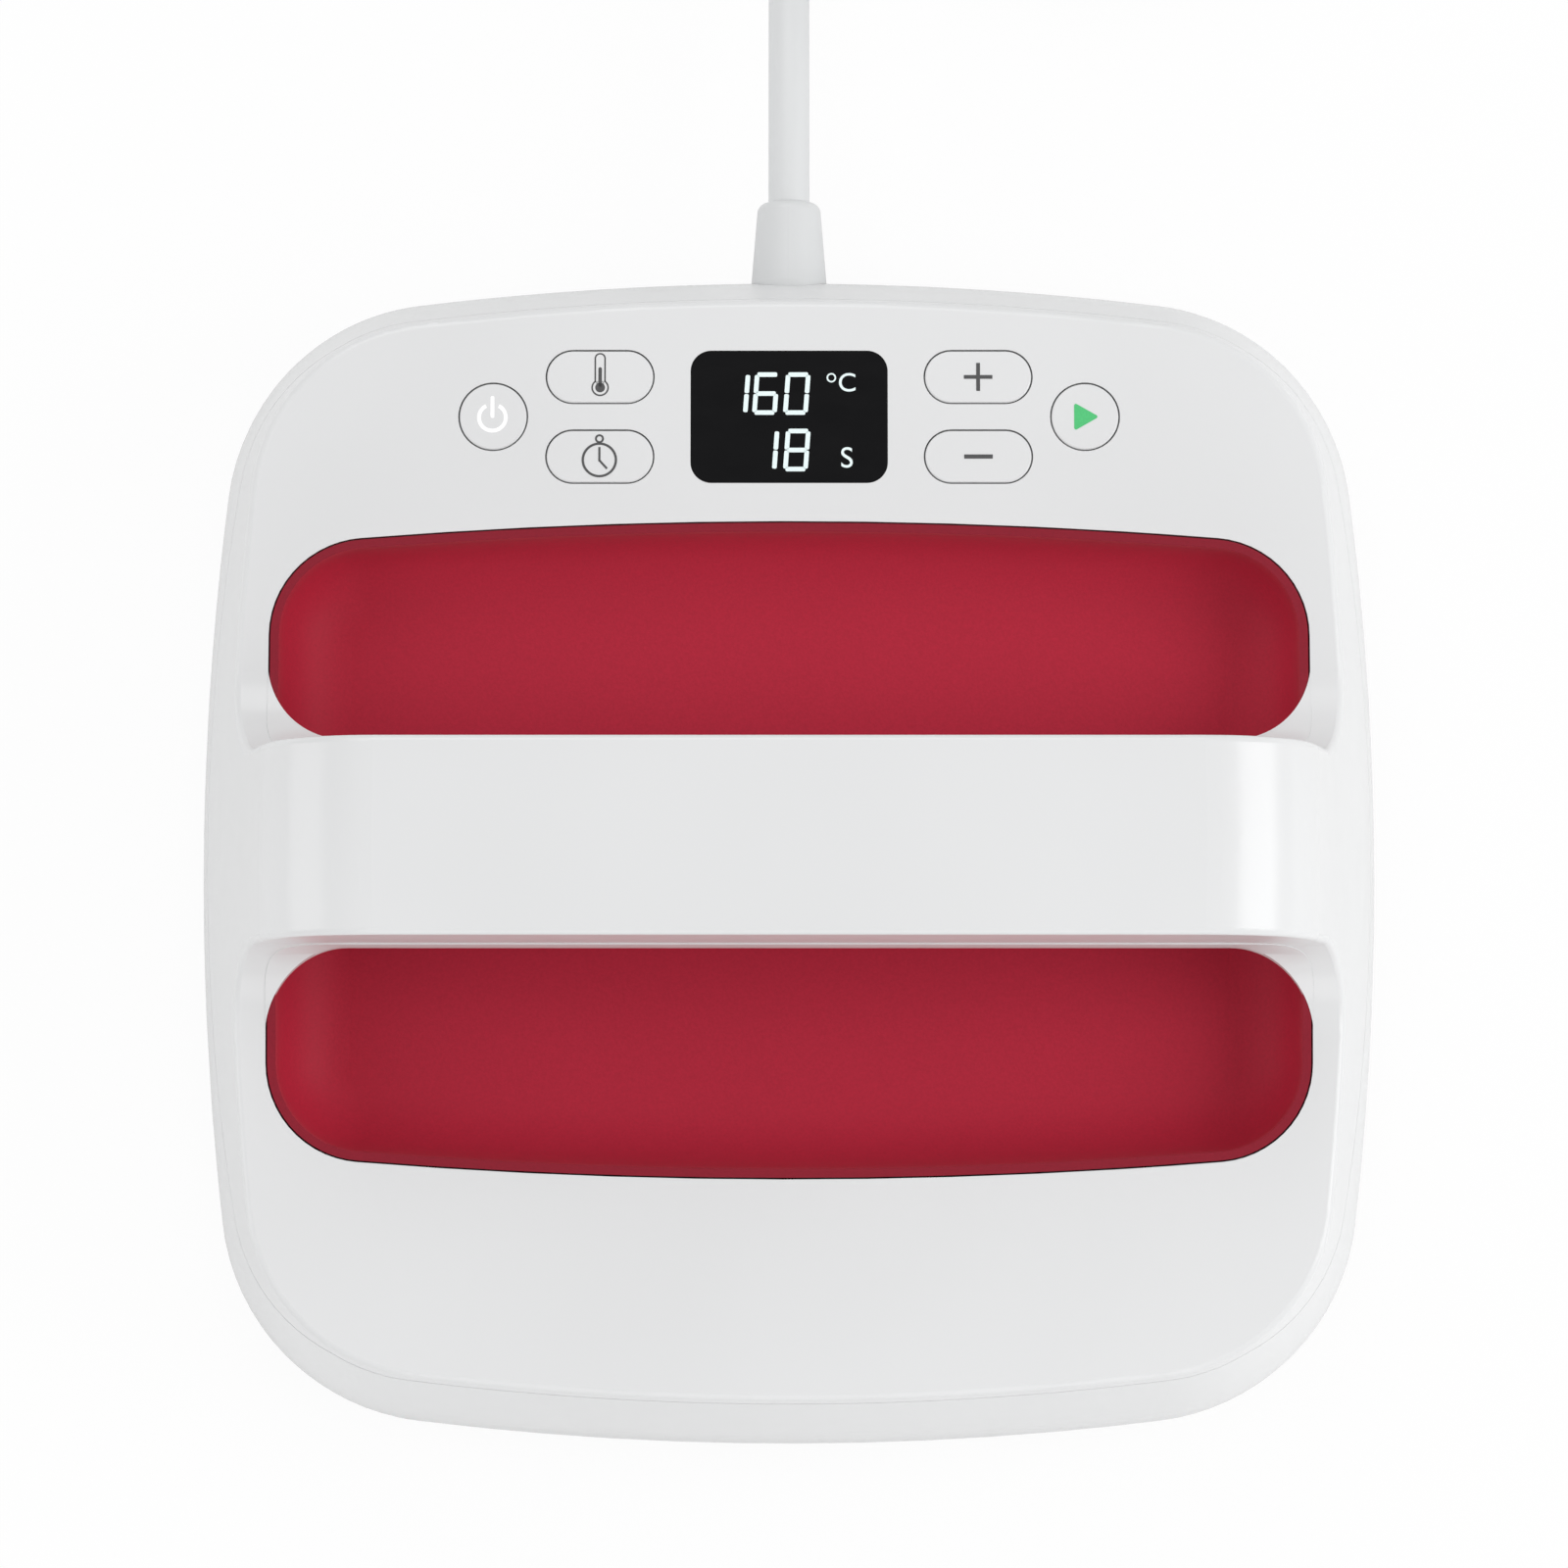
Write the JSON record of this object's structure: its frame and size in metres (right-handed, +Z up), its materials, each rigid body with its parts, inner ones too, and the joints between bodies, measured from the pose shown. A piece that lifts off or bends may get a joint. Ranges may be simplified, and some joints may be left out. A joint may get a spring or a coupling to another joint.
{
  "type": "handheld heat press",
  "caption": "Handheld heat press: square bowed housing with arched handle over a lined hand hollow, heated plate below, touch-button panel with display, coiled mains cord with plug.",
  "frame": {"origin": "middle of the heat plate's underside, at the centre of the housing's footprint", "axes": "+Z up from the heat plate, +Y towards the control panel and the cord, +X to the right of a user at the front"},
  "size_m": [0.3663, 0.5163, 0.118],
  "materials": {
    "plate_metal": "dark non-stick coat",
    "element_steel": "satin",
    "insulation_wool": "fibrous",
    "shield_steel": "satin",
    "ceramic": "matt ceramic",
    "screw_steel": "zinc plated",
    "white_housing": "soft gloss",
    "red_liner": "fine matt grain",
    "display_glass": "gloss black lens",
    "lcd_black": "gloss",
    "board_green": "solder mask",
    "chip_black": "matt",
    "relay_blue": "matt",
    "transformer_yellow": "tape",
    "capacitor_blue": "sleeve",
    "sink_aluminium": "extruded",
    "brass_fittings": "nickel on brass",
    "relief_grey": "soft matt",
    "cord_grey": "soft matt",
    "clamp_white": "matt",
    "lead_brown": "satin",
    "lead_white": "braided glass sleeve",
    "lead_green": "satin",
    "ribbon_grey": "ribbed",
    "tie_black": "woven hook tape",
    "plug_grey": "moulded",
    "button_black": "soft matt"
  },
  "bodies": {
    "housing": {"base_skirt": "white_housing", "upper_shell": "white_housing", "hollow_tray": "red_liner", "handle_grip": "red_liner", "heat_plate": "plate_metal", "heating_element": "element_steel", "insulation_pad": "insulation_wool", "heat_shield": "shield_steel", "plate_spacers": "ceramic", "plate_screws": "screw_steel", "shield_screws": "screw_steel", "housing_screws": "screw_steel", "temperature_sensor": "brass_fittings", "thermal_fuse": "brass_fittings", "display_window": "display_glass", "display_module": "lcd_black", "control_board": "board_green", "control_board_screws": "screw_steel", "control_chips": "chip_black", "buzzer": "chip_black", "switch_bodies": "chip_black", "power_board": "board_green", "board_spacers": "chip_black", "power_board_screws": "screw_steel", "relay": "relay_blue", "transformer": "transformer_yellow", "capacitors": "capacitor_blue", "triac_heat_sink": "sink_aluminium", "triac": "chip_black", "terminal_block": "ceramic", "mains_leads": "lead_brown", "supply_leads": "lead_brown", "heater_leads": "lead_white", "sensor_leads": "lead_white", "earth_lead": "lead_green", "ribbon_cable": "ribbon_grey", "strain_relief": "relief_grey", "cord_tail": "cord_grey", "cord_clamp": "clamp_white", "clamp_screws": "screw_steel", "power_cord": "cord_grey", "cord_coil": "cord_grey", "coil_tie": "tie_black", "plug_lead": "cord_grey", "plug_body": "plug_grey", "plug_pins": "brass_fittings", "plug_earth_clips": "brass_fittings"},
    "power_key": {"power_button": "button_black", "power_plunger": "chip_black"},
    "temperature_key": {"temperature_button": "button_black", "temperature_plunger": "chip_black"},
    "timer_key": {"timer_button": "button_black", "timer_plunger": "chip_black"},
    "plus_key": {"plus_button": "button_black", "plus_plunger": "chip_black"},
    "minus_key": {"minus_button": "button_black", "minus_plunger": "chip_black"},
    "start_key": {"start_button": "button_black", "start_plunger": "chip_black"}
  },
  "joints": [
    {"name": "power_press", "type": "slide", "parent": "housing", "child": "power_key", "axis": [0, -0.0523, -0.9986], "range_m": [0, 0.0005], "stiffness_N_per_m": 1500, "springref_m": -0.0004},
    {"name": "temperature_press", "type": "slide", "parent": "housing", "child": "temperature_key", "axis": [0, -0.0523, -0.9986], "range_m": [0, 0.0005], "stiffness_N_per_m": 1500, "springref_m": -0.0004},
    {"name": "timer_press", "type": "slide", "parent": "housing", "child": "timer_key", "axis": [0, -0.0523, -0.9986], "range_m": [0, 0.0005], "stiffness_N_per_m": 1500, "springref_m": -0.0004},
    {"name": "plus_press", "type": "slide", "parent": "housing", "child": "plus_key", "axis": [0, -0.0523, -0.9986], "range_m": [0, 0.0005], "stiffness_N_per_m": 1500, "springref_m": -0.0004},
    {"name": "minus_press", "type": "slide", "parent": "housing", "child": "minus_key", "axis": [0, -0.0523, -0.9986], "range_m": [0, 0.0005], "stiffness_N_per_m": 1500, "springref_m": -0.0004},
    {"name": "start_press", "type": "slide", "parent": "housing", "child": "start_key", "axis": [0, -0.0523, -0.9986], "range_m": [0, 0.0005], "stiffness_N_per_m": 1500, "springref_m": -0.0004}
  ]
}
